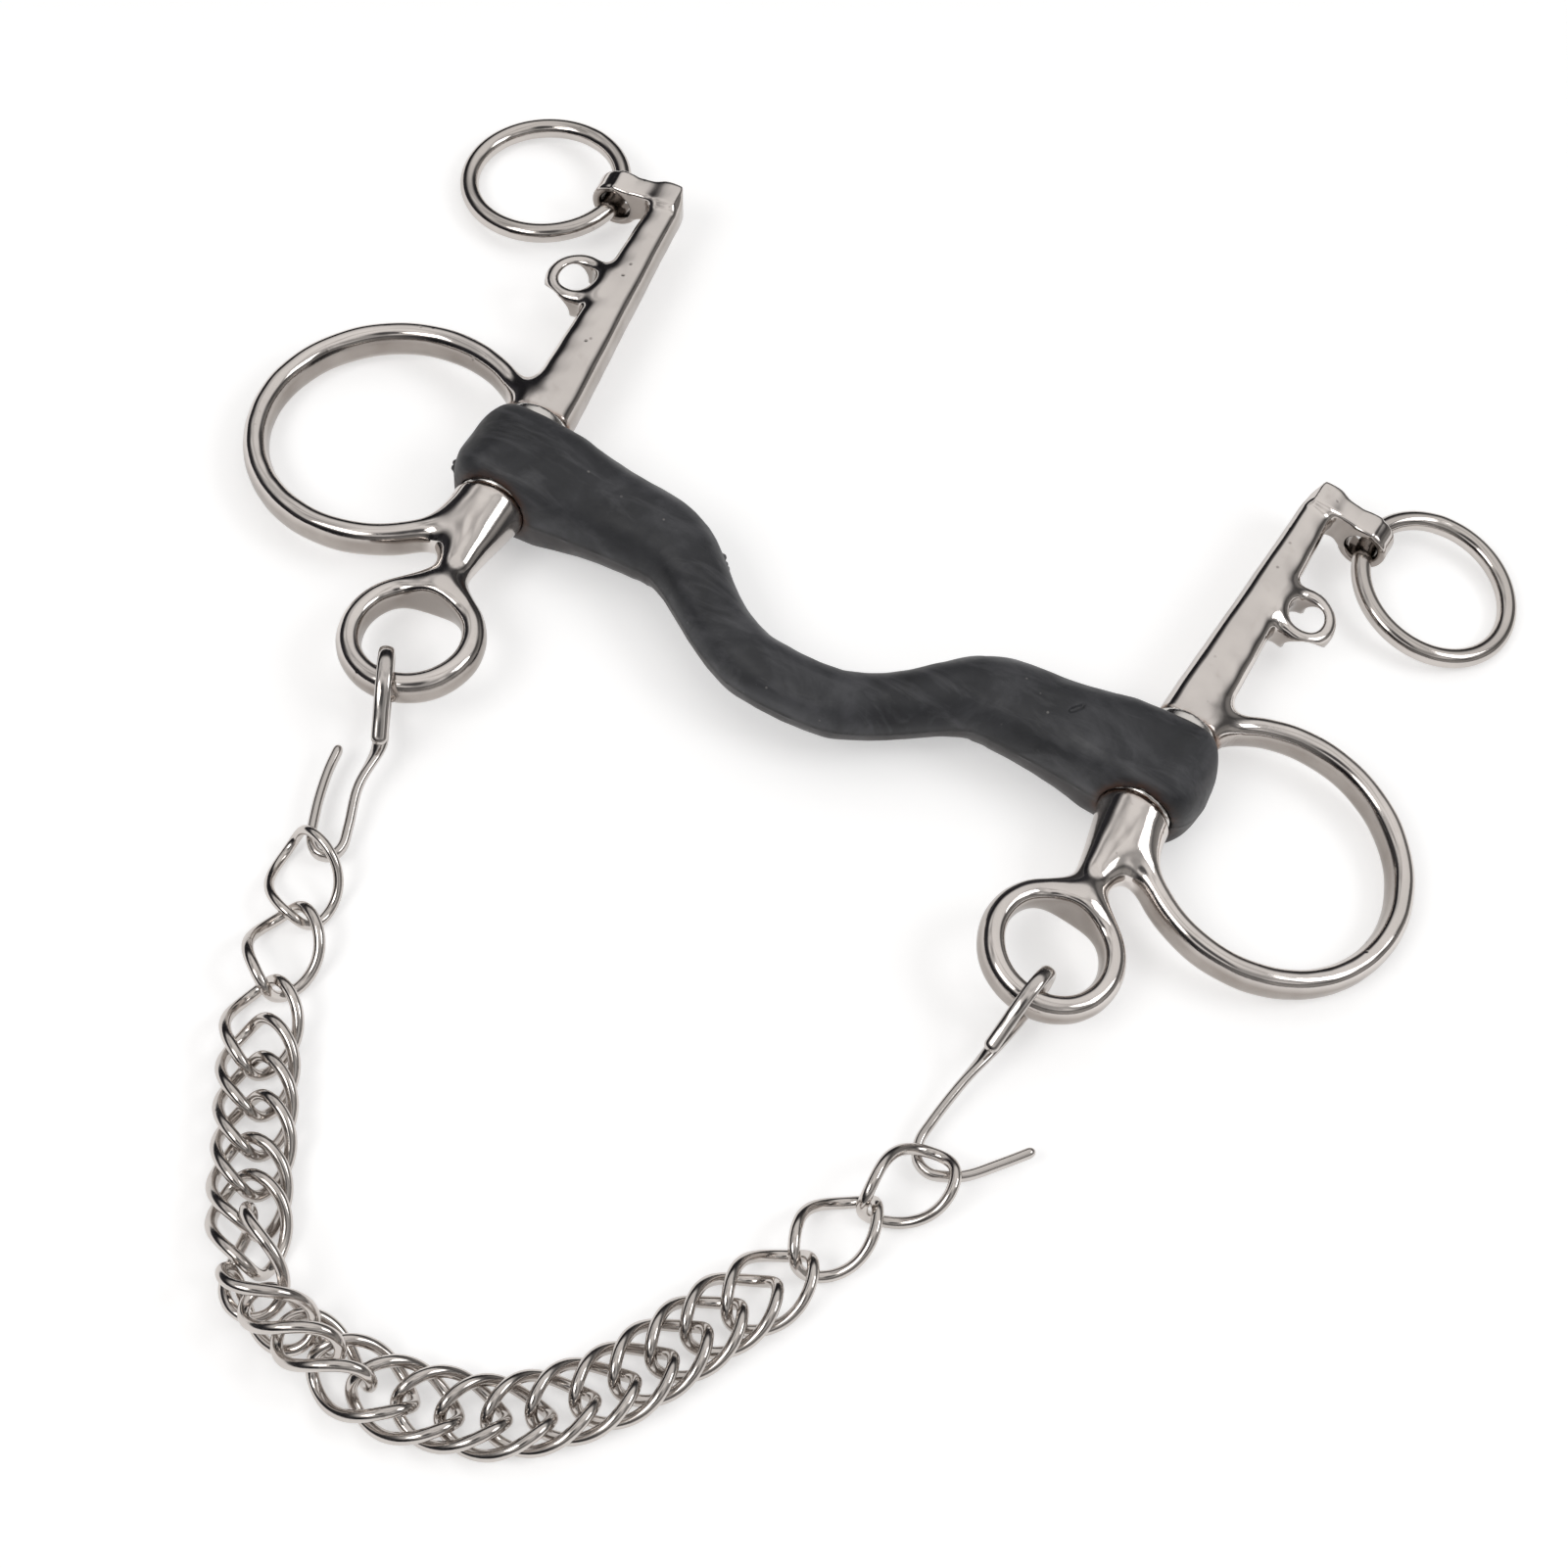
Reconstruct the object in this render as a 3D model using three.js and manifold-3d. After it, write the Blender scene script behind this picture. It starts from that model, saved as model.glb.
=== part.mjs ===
// Curb bit: rubber-covered ported mouthpiece, two swivelling cheeks with fixed
// bradoon rings, loose curb-rein rings, and a double-link curb chain on two hooks.
// Units: millimetres. +Z up. The bit lies flat: X runs along the mouthpiece,
// +Y points to the curb-rein end of the cheeks, Z = 0 is the surface it rests on.
// The origin is on that surface, under the middle of the whole outline. The
// dimensions below are laid out from the middle of the mouthpiece, and the
// finished assembly is then moved by ORIGIN_SHIFT_Y.
import * as THREE from 'three';
import { mergeVertices } from 'three/addons/utils/BufferGeometryUtils.js';
import Module from 'manifold-3d';

const wasm = await Module();
wasm.setup();

// ---------------------------------------------------------------- dimensions
const AXIS_X = 68.3;        // cheek shaft axis from the centre, at Y = 0
const AXIS_Z = 10.4;        // height of the mouthpiece and of both shaft axes
const SPLAY_DEG = 4.4;      // each cheek opens outward towards its rein end
const TILT_DEG = 7.7;       // each cheek rests with its large ring outward and down
const GAP = 0.3;            // clearance between pieces that touch
const ORIGIN_SHIFT_Y = 41.133; // from the middle of the outline to the mouthpiece axis

const BAR_X = [0, 8, 12, 17, 22, 27, 32, 37, 42, 46, 50, 54, 59, 68.3];            // mouthpiece stations
const BAR_Y = [-17.6, -17.0, -15.5, -12.7, -8.9, -4.7, -1.5, -0.2, 0, 0, 0, 0, 0, 0]; // port curve
const BAR_R = [6.5, 6.5, 6.4, 6.3, 6.5, 7.1, 8.1, 8.8, 9.1, 9.3, 9.6, 9.9, 10.4, 10.4]; // cover radius (to the flats)
const CORE_R = 3.0;         // steel bar inside the cover
const BAR_P = [2, 2, 2, 2, 2, 2, 2, 2, 2, 2.05, 2.2, 2.5, 2.9, 3.4];                     // section exponent, squarer at the bosses
const BUSH_R = 6.8;         // steel eye at each end of the bar
const BUSH_BORE_R = 4.8;
const BUSH_Y0 = -9.9, BUSH_Y1 = 11.9;

const SHAFT_R = 4.5;        // cheek shaft where it turns in the eye of the bar
const SHOULDER_Y0 = -10.2, SHOULDER_Y1 = 12.2;
const RING_C = [25.45, -0.86], RING_R = 26.18, RING_W = 5.0, RING_H = 7.2; // fixed bradoon ring
const RING_A0 = -152, RING_A1 = 148;
const EYE_C = [0.3, -44.65], EYE_R = 11.36, EYE_W = 5.0, EYE_H = 6.4;      // headstall eye
const STRAP_C = [8.1, 50.2], STRAP_R = 4.9, STRAP_W = 3.2, STRAP_H = 6.0;  // lip-strap eyelet
const SHANK = [             // y, inner x, outer x, half thickness
  [12.2, -6.3, 5.4, 4.7], [20, -6.1, 5.1, 4.5], [35, -5.4, 4.6, 4.2], [50, -4.8, 4.1, 4.0],
  [65, -4.2, 3.4, 3.7], [76, -3.8, 2.9, 3.5], [80.8, -3.6, 2.7, 3.5],
];
const LUG_C = [11.0, -1.2], LUG_R = 5.2, LUG_HOLE_R = 3.3, LUG_Y0 = 75.9, LUG_Y1 = 80.8; // rein-ring lug
const REIN_R = 16.1, REIN_W = 4.0, REIN_OFF = [0.82, -0.66]; // loose ring; where its wire sits in the lug hole

const HOOK_W = 3.0, HOOK_T = 1.9;                            // flattened hook wire
const LINK_A = 8.9, LINK_B = 6.1, LINK_W = 1.9, LINK_TWIST_DEG = -52; // twisted oval chain link

// ---------------------------------------------------------------- helpers
const rad = THREE.MathUtils.degToRad;
const V = (x, y, z) => new THREE.Vector3(x, y, z);

function closed(geometry) {
  let g = geometry.clone();
  g.deleteAttribute('normal');
  g.deleteAttribute('uv');
  g = mergeVertices(g, 1e-4);
  const p = g.attributes.position, src = g.index.array, idx = [];
  for (let i = 0; i < src.length; i += 3) {
    const [a, b, c] = [src[i], src[i + 1], src[i + 2]];
    if (a !== b && b !== c && c !== a) idx.push(a, b, c);
  }
  let vol = 0;
  const A = V(), B = V(), C = V();
  for (let i = 0; i < idx.length; i += 3) {
    A.fromBufferAttribute(p, idx[i]); B.fromBufferAttribute(p, idx[i + 1]); C.fromBufferAttribute(p, idx[i + 2]);
    vol += A.dot(B.cross(C));
  }
  if (vol < 0) for (let i = 0; i < idx.length; i += 3) [idx[i], idx[i + 1]] = [idx[i + 1], idx[i]];
  g.setIndex(idx);
  return g;
}
function solid(geometry) {
  const g = closed(geometry);
  const mesh = new wasm.Mesh({
    numProp: 3,
    vertProperties: new Float32Array(g.attributes.position.array),
    triVerts: new Uint32Array(g.index.array),
  });
  return new wasm.Manifold(mesh);
}
function geometryOf(manifold) {
  const m = manifold.getMesh();
  const g = new THREE.BufferGeometry();
  const n = m.vertProperties.length / m.numProp, pos = new Float32Array(n * 3);
  for (let i = 0; i < n; i++) for (let k = 0; k < 3; k++) pos[i * 3 + k] = m.vertProperties[i * m.numProp + k];
  g.setAttribute('position', new THREE.BufferAttribute(pos, 3));
  g.setIndex(new THREE.BufferAttribute(new Uint32Array(m.triVerts), 1));
  return g;
}
// a rounded section: angle -> point of a superellipse with half sizes a, b
function section(theta, a, b, p = 2.4) {
  const c = Math.cos(theta), s = Math.sin(theta);
  const r = 1 / Math.pow(Math.abs(c) ** p + Math.abs(s) ** p, 1 / p);
  return [a * r * c, b * r * s];
}
// a closed tube: the vertices of a torus are laid along the closed curve at(u) -> {c, n, b}
function loopTube(at, a, b, nu, nv, p) {
  const g = new THREE.TorusGeometry(1, 0.3, nv, nu), pos = g.attributes.position;
  for (let j = 0, k = 0; j <= nv; j++) {
    for (let i = 0; i <= nu; i++, k++) {
      const f = at((i % nu) / nu * 2 * Math.PI);
      const [s, t] = section((j % nv) / nv * 2 * Math.PI + Math.PI / nv, a, b, p);
      const q = f.c.clone().addScaledVector(f.n, s).addScaledVector(f.b, t);
      pos.setXYZ(k, q.x, q.y, q.z);
    }
  }
  return g;
}
// a capped tube: the vertices of a cylinder are laid on the stations [{c, n, b, a, h}]
function barTube(stations, sides, p = 2, phase = 0.5) {
  const n = stations.length - 1;
  const g = new THREE.CylinderGeometry(1, 1, 1, sides, n, false), pos = g.attributes.position;
  for (let k = 0; k < pos.count; k++) {
    const x = pos.getX(k), y = pos.getY(k), z = pos.getZ(k);
    const st = stations[Math.round((0.5 - y) * n)];
    let s = 0, t = 0;
    if (Math.hypot(x, z) > 0.5) {
      const i = Math.round(Math.atan2(x, z) / (2 * Math.PI) * sides);
      [s, t] = section((i + phase) / sides * 2 * Math.PI, st.a, st.h, st.p ?? p);
    }
    const q = st.c.clone().addScaledVector(st.n, s).addScaledVector(st.b, t);
    pos.setXYZ(k, q.x, q.y, q.z);
  }
  return g;
}
function ringTube(cx, cy, R, w, h, nu, nv, p = 2.2) {
  return loopTube((u) => ({
    c: V(cx + R * Math.cos(u), cy + R * Math.sin(u), 0), n: V(Math.cos(u), Math.sin(u), 0), b: V(0, 0, 1),
  }), w / 2, h / 2, nu, nv, p);
}
function boxSolid(x0, x1, y0, y1, z0, z1) {
  const g = new THREE.BoxGeometry(x1 - x0, y1 - y0, z1 - z0);
  g.translate((x0 + x1) / 2, (y0 + y1) / 2, (z0 + z1) / 2);
  return solid(g);
}
function rodY(r, y0, y1, x = 0, z = 0, sides = 24) {   // a cylinder along Y
  const g = new THREE.CylinderGeometry(r, r, y1 - y0, sides);
  g.translate(x, (y0 + y1) / 2, z);
  return solid(g);
}
function interp(x, xs, ys) {
  const a = Math.abs(x);
  for (let i = 1; i < xs.length; i++) if (a <= xs[i]) return ys[i - 1] + (ys[i] - ys[i - 1]) * (a - xs[i - 1]) / (xs[i] - xs[i - 1]);
  return ys[ys.length - 1];
}

// ---------------------------------------------------------------- cheek (built for +X, x outward)
function cheekSolid() {
  const prof = [[0, -34.2], [3.2, -34.2], [3.3, -29.5], [4.0, -25], [5.2, -19], [6.3, -13.5], [6.75, SHOULDER_Y0 - 0.6], [6.6, SHOULDER_Y0],
    [SHAFT_R, SHOULDER_Y0], [SHAFT_R, SHOULDER_Y1 + 0.5], [0, SHOULDER_Y1 + 0.5]].map(([x, y]) => new THREE.Vector2(x, y));
  const shaft = solid(new THREE.LatheGeometry(prof, 16));
  const shank = SHANK.map(([y, x0, x1, h]) => ({ c: V((x0 + x1) / 2, y, 0), n: V(1, 0, 0), b: V(0, 0, 1), a: (x1 - x0) / 2, h }));
  let body = solid(barTube(shank, 12, 3.2));
  const arc = [], A0 = rad(RING_A0), A1 = rad(RING_A1), N = 30;
  for (let i = 0; i <= N; i++) {
    const u = A0 + (A1 - A0) * i / N;
    arc.push({ c: V(RING_C[0] + RING_R * Math.cos(u), RING_C[1] + RING_R * Math.sin(u), 0), n: V(Math.cos(u), Math.sin(u), 0), b: V(0, 0, 1), a: RING_W / 2, h: RING_H / 2 });
  }
  body = body.add(solid(barTube(arc, 8, 2.2)));
  body = body.add(solid(ringTube(EYE_C[0], EYE_C[1], EYE_R, EYE_W, EYE_H, 28, 8)));
  body = body.add(solid(ringTube(STRAP_C[0], STRAP_C[1], STRAP_R, STRAP_W, STRAP_H, 18, 8)));
  body = body.add(boxSolid(-3.4, LUG_C[0], LUG_Y0, LUG_Y1 - 0.05, LUG_C[1] - 2.0, LUG_C[1] + LUG_R - 0.1));
  body = body.add(rodY(LUG_R, LUG_Y0 - 0.05, LUG_Y1, LUG_C[0], LUG_C[1], 20));
  body = body.subtract(rodY(LUG_HOLE_R, LUG_Y0 - 2, LUG_Y1 + 2, LUG_C[0], LUG_C[1], 20));
  body = body.subtract(rodY(BUSH_R + 4.2, -10.8, SHOULDER_Y1, 0, 0, 24));      // room for the rubber boss
  return body.add(shaft);
}
const cheekRight = geometryOf(cheekSolid());
const cheekLeft = cheekRight.clone().scale(-1, 1, 1);

// frame of a cheek: origin on the shaft axis at Y = 0; side is -1 left, +1 right
function cheekFrame(side) {
  const s = rad(SPLAY_DEG), t = rad(TILT_DEG);
  const ey = V(side * Math.sin(s), Math.cos(s), 0);
  const out = V(side * Math.cos(s), -Math.sin(s), 0);
  const ex = out.clone().multiplyScalar(Math.cos(t)).add(V(0, 0, -Math.sin(t)));   // outward
  const ez = out.clone().multiplyScalar(Math.sin(t)).add(V(0, 0, Math.cos(t)));
  const m = new THREE.Matrix4().makeBasis(ex.clone().multiplyScalar(side), ey, ez);
  m.setPosition(side * AXIS_X, 0, AXIS_Z);
  return { m, ex, ey, ez, out, o: V(side * AXIS_X, 0, AXIS_Z) };
}
const FR = { left: cheekFrame(-1), right: cheekFrame(1) };

// ---------------------------------------------------------------- mouthpiece
const SIDES = 16;
// scale of a superellipse section whose lowest side of 16 lies flat at the nominal radius
function flatScale(p) {
  const c = Math.sin(Math.PI / SIDES), s = Math.cos(Math.PI / SIDES);
  return Math.pow(c ** p + s ** p, 1 / p) / s;
}
function barStations(radiusOf, clear, ends) {
  const xs = [];
  for (const x of BAR_X) { xs.push(x); if (x) xs.push(-x); }
  xs.sort((a, b) => a - b);
  const st = xs.map((x) => {
    const y = interp(x, BAR_X, BAR_Y);
    const d = 0.5, slope = (interp(x + d, BAR_X, BAR_Y) - interp(x - d, BAR_X, BAR_Y)) / (2 * d);
    const n = V(-slope, 1, 0).normalize();
    const p = ends ? interp(x, BAR_X, BAR_P) : 2, k = ends ? flatScale(p) : 1;
    return { c: V(x, y, AXIS_Z), n, b: V(0, 0, 1), a: (radiusOf(x) + clear) * k, h: (radiusOf(x) + clear) * k, p };
  });
  if (ends) {
    for (const [dx, ky, kz] of [[3.2, 1, 0.952], [6.0, 0.97, 0.817], [8.2, 0.90, 0.615], [9.7, 0.78, 0.36], [10.4, 0.6, 0.14]]) {
      for (const side of [-1, 1]) {
        const p = BAR_P[BAR_P.length - 1], R = (BAR_R[BAR_R.length - 1] + clear) * flatScale(p);
        const e = { c: V(side * (AXIS_X + dx), 0, AXIS_Z), n: V(0, 1, 0), b: V(0, 0, 1), a: R * ky, h: R * kz, p };
        if (side < 0) st.unshift(e); else st.push(e);
      }
    }
  }
  return st;
}
function axisRod(side, r, y0, y1, sides) {
  const f = side < 0 ? FR.left : FR.right;
  const g = new THREE.CylinderGeometry(r, r, y1 - y0, sides);
  g.translate(0, (y0 + y1) / 2, 0);
  g.applyMatrix4(new THREE.Matrix4().makeBasis(f.out.clone().multiplyScalar(side), f.ey, V(0, 0, 1)).setPosition(f.o));
  return solid(g);
}
let cover = solid(barTube(barStations((x) => interp(x, BAR_X, BAR_R), 0, true), SIDES, 2));
let core = solid(barTube(barStations(() => CORE_R, 0, false), 8, 2));
const channel = solid(barTube(barStations(() => CORE_R, GAP, false), 8, 2));
for (const side of [-1, 1]) core = core.add(axisRod(side, BUSH_R, BUSH_Y0, BUSH_Y1, 20));
for (const side of [-1, 1]) core = core.subtract(axisRod(side, BUSH_BORE_R, BUSH_Y0 - 2, BUSH_Y1 + 2, 20));
cover = cover.subtract(channel);
for (const side of [-1, 1]) cover = cover.subtract(axisRod(side, BUSH_R + GAP, -30, 30, 20));

// ---------------------------------------------------------------- loose rein rings
function reinRing(side) {
  const f = side < 0 ? FR.left : FR.right;
  const yMid = (LUG_Y0 + LUG_Y1) / 2;
  const h = f.o.clone().addScaledVector(f.ex, LUG_C[0] + REIN_OFF[0]).addScaledVector(f.ey, yMid).addScaledVector(f.ez, LUG_C[1] + REIN_OFF[1]);
  const sn = (h.z - REIN_W / 2 - 0.05) / (2 * REIN_R);
  const ex = f.out.clone().multiplyScalar(Math.sqrt(1 - sn * sn)).add(V(0, 0, -sn));
  const ez = V().crossVectors(ex, f.ey); if (ez.z < 0) ez.negate();
  const ey = V().crossVectors(ez, ex);
  const m = new THREE.Matrix4().makeBasis(ex, ey, ez);
  m.setPosition(h.clone().addScaledVector(ex, REIN_R));
  return { m, h };
}
const reinGeometry = new THREE.TorusGeometry(REIN_R, REIN_W / 2, 8, 28);

// ---------------------------------------------------------------- curb hooks
// loop in a vertical plane round the eye of the cheek, then the open hook that carries the chain
const HOOKS = {
  left: {
    origin: [-64.3, -55.9], dir: [0.427, -0.904],
    arm: [[-58.9, -74.4, 5.0], [-56.6, -81.6, 3.6], [-55.6, -85.6, 2.9], [-56.3, -87.9, 2.7], [-58.6, -88.7, 2.7], [-60.8, -87.2, 2.9], [-63.2, -81.9, 3.4], [-65.4, -74.1, 4], [-66.3, -68.1, 4.5]],
  },
  right: {
    origin: [65.3, -55.9], dir: [-0.2, -0.98],
    arm: [[61.2, -74.4, 5.0], [59.6, -82.6, 3.6], [59.2, -86.6, 2.9], [60.4, -89.8, 2.7], [63.0, -91.0, 2.7], [65.8, -90.3, 2.9], [69.0, -88.5, 3.2], [73.4, -84.0, 4], [77.8, -78.9, 4.5]],
  },
};
const LOOP = [[12.0, 8.6], [8.6, 11.2], [5.2, 13.9], [2.0, 15.6], [-1.6, 15.9], [-4.8, 14.3], [-6.3, 11.6], [-6.4, 9.0], [-5.2, 6.4], [-2.4, 4.8], [1.6, 4.5], [6, 5.0], [10.8, 5.9]]; // distance along dir, height
function hookGeometry(h) {
  const d = V(h.dir[0], h.dir[1], 0).normalize(), nrm = V(-d.y, d.x, 0);
  const pts = LOOP.map(([u, z]) => V(h.origin[0] + d.x * u, h.origin[1] + d.y * u, z));
  const nLoop = pts.length;
  for (const a of h.arm) pts.push(V(...a));
  const curve = new THREE.CatmullRomCurve3(pts, false, 'centripetal');
  const stations = [], per = 2, last = pts.length - 1;
  for (let i = 0; i <= last * per; i++) {
    const t = i / (last * per), c = curve.getPoint(t), tan = curve.getTangent(t).normalize();
    const k = THREE.MathUtils.clamp((i / per - (nLoop - 1)) / 1.0, 0, 1);
    const want = nrm.clone().multiplyScalar(1 - k).add(V(0, 0, k));
    const n = want.addScaledVector(tan, -want.dot(tan)).normalize();
    const b = V().crossVectors(tan, n).normalize();
    stations.push({ c, n, b, a: HOOK_W / 2 * (i === 0 || i === last * per ? 0.75 : 1), h: HOOK_T / 2 });
  }
  return barTube(stations, 8, 2.4);
}

// ---------------------------------------------------------------- curb chain
// centre and quaternion (x, y, z, w) of every link, as the chain lies with its half turn of twist
const LINKS = [
  [-57.946, -94.740, 3.734, 0.11817, 0.00304, -0.47311, 0.87304],
  [-53.575, -108.813, 3.762, -0.04191, 0.00630, -0.60563, 0.79461],
  [-49.034, -123.285, 3.771, -0.01521, 0.00159, -0.56968, 0.82172],
  [-45.568, -130.137, 3.772, -0.00003, 0.00000, -0.51007, 0.86013],
  [-42.136, -136.474, 3.772, 0.00524, -0.00018, -0.51063, 0.85978],
  [-38.653, -142.738, 3.772, -0.00025, 0.00001, -0.51689, 0.85605],
  [-35.204, -149.547, 3.749, -0.06654, -0.00376, -0.42998, 0.90038],
  [-31.850, -155.192, 3.744, -0.07385, -0.00397, -0.43228, 0.89870],
  [-27.498, -161.250, 5.932, 0.44950, -0.10248, -0.45725, 0.76050],
  [-21.718, -166.811, 6.798, 0.62128, 0.09936, -0.14636, 0.76336],
  [-16.090, -167.205, 6.354, 0.87046, -0.06338, 0.01957, 0.48774],
  [-9.313, -168.707, 5.647, 0.92992, -0.08252, 0.03876, 0.35629],
  [-2.278, -169.413, 3.771, 0.99972, 0.02142, 0.00501, 0.00867],
  [5.184, -169.028, 3.762, 0.99489, 0.09101, -0.02448, -0.03630],
  [12.352, -166.831, 3.772, 0.98751, 0.15758, -0.00003, -0.00004],
  [19.078, -164.449, 3.772, 0.96985, 0.24369, 0.00000, 0.00001],
  [24.829, -160.137, 3.772, 0.93514, 0.35429, -0.00002, -0.00001],
  [29.762, -154.997, 3.772, 0.90897, 0.41685, -0.00000, -0.00000],
  [34.154, -149.307, 3.772, 0.87831, 0.47809, -0.00000, -0.00000],
  [37.534, -142.974, 3.772, 0.85552, 0.51776, -0.00000, -0.00000],
  [40.817, -136.580, 3.772, 0.85342, 0.52122, 0.00000, 0.00000],
  [44.098, -130.185, 3.772, 0.86005, 0.51022, -0.00000, -0.00000],
  [47.830, -123.575, 3.770, 0.83396, 0.55157, -0.01465, -0.00771],
  [53.533, -109.445, 3.767, 0.82368, 0.56618, 0.02807, 0.01414],
  [60.871, -96.471, 5.577, 0.85742, 0.45696, -0.07101, -0.22576],
];
const SEG = 16;
function linkPoint(t) {
  const x = LINK_A * Math.cos(t), r = LINK_B * Math.sin(t), ph = rad(LINK_TWIST_DEG) * x / LINK_A;
  return V(x, r * Math.cos(ph), r * Math.sin(ph));
}
const linkGeometry = loopTube((u) => {
  const d = 2 * Math.PI / SEG, c = linkPoint(u);
  const tan = linkPoint(u + d).sub(linkPoint(u - d)).normalize();
  const n = c.clone().addScaledVector(tan, -c.dot(tan)).normalize();
  return { c, n, b: V().crossVectors(tan, n) };
}, LINK_W / 2, LINK_W / 2, SEG, 6, 2);

// ---------------------------------------------------------------- assembly
const steel = (name) => new THREE.MeshStandardMaterial({ name, color: 0xd7d0cb, metalness: 1.0, roughness: 0.12 });
const rubber = new THREE.MeshStandardMaterial({ name: 'black_rubber', color: 0x3c3d40, metalness: 0.0, roughness: 0.62 });
const group = new THREE.Group();
group.name = 'curb_bit';

function place(name, geometry, material, matrix) {
  const mesh = new THREE.Mesh(closed(geometry), material);
  mesh.name = name;
  if (matrix) matrix.decompose(mesh.position, mesh.quaternion, mesh.scale);
  return mesh;
}
const mouthpiece = new THREE.Group();
mouthpiece.add(place('mouthpiece_rubber_cover', geometryOf(cover), rubber));
mouthpiece.add(place('mouthpiece_steel_core', geometryOf(core), steel('forged_steel')));
group.add(mouthpiece);

const cheeks = new THREE.Group();
cheeks.add(place('left_cheek', cheekLeft, steel('polished_cheek_l'), FR.left.m));
cheeks.add(place('right_cheek', cheekRight, steel('polished_cheek_r'), FR.right.m));
cheeks.add(place('left_curb_rein_ring', reinGeometry, steel('ring_l'), reinRing(-1).m));
cheeks.add(place('right_curb_rein_ring', reinGeometry, steel('ring_r'), reinRing(1).m));
group.add(cheeks);

const chain = new THREE.Group();
chain.add(place('left_curb_hook', hookGeometry(HOOKS.left), steel('hook_l')));
chain.add(place('right_curb_hook', hookGeometry(HOOKS.right), steel('hook_r')));
LINKS.forEach((row, i) => {
  const mesh = place(`chain_link_${String(i + 1).padStart(2, '0')}`, linkGeometry, steel('chain_wire'));
  mesh.position.set(row[0], row[1], row[2]);
  mesh.quaternion.set(row[3], row[4], row[5], row[6]).normalize();
  chain.add(mesh);
});
group.add(chain);

for (const part of group.children) part.position.y = ORIGIN_SHIFT_Y;

export default group;
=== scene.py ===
import math

import bpy
import numpy as np
from mathutils import Matrix, Vector


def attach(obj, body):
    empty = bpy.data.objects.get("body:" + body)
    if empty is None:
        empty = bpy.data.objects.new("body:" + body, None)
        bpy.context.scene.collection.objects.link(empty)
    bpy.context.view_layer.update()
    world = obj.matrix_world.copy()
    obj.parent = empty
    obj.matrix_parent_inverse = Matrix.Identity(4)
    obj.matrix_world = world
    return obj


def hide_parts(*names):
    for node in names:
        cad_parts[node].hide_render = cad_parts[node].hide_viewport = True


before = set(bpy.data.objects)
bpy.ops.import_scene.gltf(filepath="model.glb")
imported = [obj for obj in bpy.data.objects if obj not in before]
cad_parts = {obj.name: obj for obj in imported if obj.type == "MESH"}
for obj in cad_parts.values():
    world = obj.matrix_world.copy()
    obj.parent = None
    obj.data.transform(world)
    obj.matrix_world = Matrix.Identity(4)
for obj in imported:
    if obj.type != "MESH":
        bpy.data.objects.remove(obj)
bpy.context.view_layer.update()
scene = bpy.context.scene
MM = 0.001

# ------------------------------------------------------------------ camera
SHIFT_Y = 41.133                      # the layout below is in mm from the mouthpiece axis
cam_data = bpy.data.cameras.new("camera")
cam = bpy.data.objects.new("camera", cam_data)
scene.collection.objects.link(cam)
R = Vector((0.89246573, 0.42914891, 0.13905441))
U = Vector((-0.43341604, 0.73020308, 0.52816096))
F = Vector((-0.12512174, 0.53163397, -0.83768125))
m = Matrix.Identity(4)
for i in range(3):
    m[i][0], m[i][1], m[i][2] = R[i], U[i], -F[i]
m.translation = Vector((70.855, -303.130 + SHIFT_Y, 428.852)) * MM
cam.matrix_world = m
cam_data.sensor_width = 36.0
cam_data.lens = 62.96
cam_data.clip_start = 0.01
cam_data.clip_end = 20.0
cam_data.dof.use_dof = False
scene.camera = cam

# ------------------------------------------------------------------ dimensions (mm), as in the CAD
AXIS_X, AXIS_Z = 68.3, 10.4
SPLAY, TILT = math.radians(4.4), math.radians(7.7)
BAR_X = [0, 8, 12, 17, 22, 27, 32, 37, 42, 46, 50, 54, 59, 68.3]
BAR_Y = [-17.6, -17.0, -15.5, -12.7, -8.9, -4.7, -1.5, -0.2, 0, 0, 0, 0, 0, 0]
BAR_R = [6.5, 6.5, 6.4, 6.3, 6.5, 7.1, 8.1, 8.8, 9.1, 9.3, 9.6, 9.9, 10.4, 10.4]
BAR_P = [2, 2, 2, 2, 2, 2, 2, 2, 2, 2.05, 2.2, 2.5, 2.9, 3.4]
CORE_R, BUSH_R, BUSH_BORE_R, BUSH_Y0, BUSH_Y1 = 3.0, 6.8, 4.8, -9.9, 11.9
SHAFT_R, SHOULDER_Y0, SHOULDER_Y1 = 4.5, -10.2, 12.2
NECK = [(-36.0, 3.2), (-34.2, 3.2), (-29.5, 3.3), (-25, 4.0), (-19, 5.2), (-13.5, 6.35), (-10.8, 6.8), (-10.2, 6.8)]
RING_C, RING_R, RING_W, RING_H = (25.45, -0.86), 26.18, 5.0, 7.2
EYE_C, EYE_R, EYE_W, EYE_H = (0.3, -44.65), 11.36, 5.0, 6.4
STRAP_C, STRAP_R, STRAP_W, STRAP_H = (8.1, 50.2), 5.05, 3.7, 6.2
SHANK = [(12.2, -6.3, 5.4, 4.7), (20, -6.1, 5.1, 4.5), (35, -5.4, 4.6, 4.2), (50, -4.8, 4.1, 4.0),
         (65, -4.2, 3.4, 3.7), (76, -3.8, 2.9, 3.5), (81.0, -3.6, 2.7, 3.5)]
LUG_C, LUG_R, LUG_HOLE_R, LUG_Y0, LUG_Y1 = (11.0, -1.2), 5.2, 3.3, 75.4, 81.0
REIN_R, REIN_W, REIN_OFF = 16.1, 4.0, (0.82, -0.66)
HOOK_W, HOOK_T = 3.0, 1.9
LINK_A, LINK_B, LINK_W, LINK_TWIST = 8.9, 6.1, 1.9, math.radians(-52)


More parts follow.
